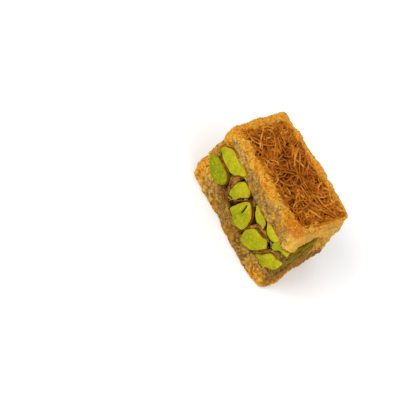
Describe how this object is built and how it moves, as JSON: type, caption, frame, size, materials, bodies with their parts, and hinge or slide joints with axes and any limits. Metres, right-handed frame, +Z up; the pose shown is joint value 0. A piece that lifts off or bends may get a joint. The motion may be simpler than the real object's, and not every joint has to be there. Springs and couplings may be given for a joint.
{
  "type": "pistachio ballorieh piece",
  "caption": "Small cut block of pastry with a crumb base, a filling of packed pistachio kernels and a crumb top matted with fine browned pastry strands.",
  "frame": {"origin": "middle of the bounding box at the bottom, on the surface that the piece rests on", "axes": "+X along the length towards the end whose base flares out, +Y from the front cut side to the back, +Z up"},
  "size_m": [0.0518, 0.0312, 0.0296],
  "materials": {
    "crumb_base": "baked semolina crumb, golden brown, coarse grain, slightly translucent with syrup",
    "pistachio_filling": "cut pistachio kernels, yellow green and faintly moist, bound in brown crumbs and skins",
    "strand_topped_crumb": "baked crumb under a mat of thin fried pastry strands, red brown and slightly glossy"
  },
  "bodies": {
    "root": {"bottom_crust": "crumb_base", "pistachio_filling": "pistachio_filling", "top_crust": "strand_topped_crumb"}
  },
  "joints": []
}
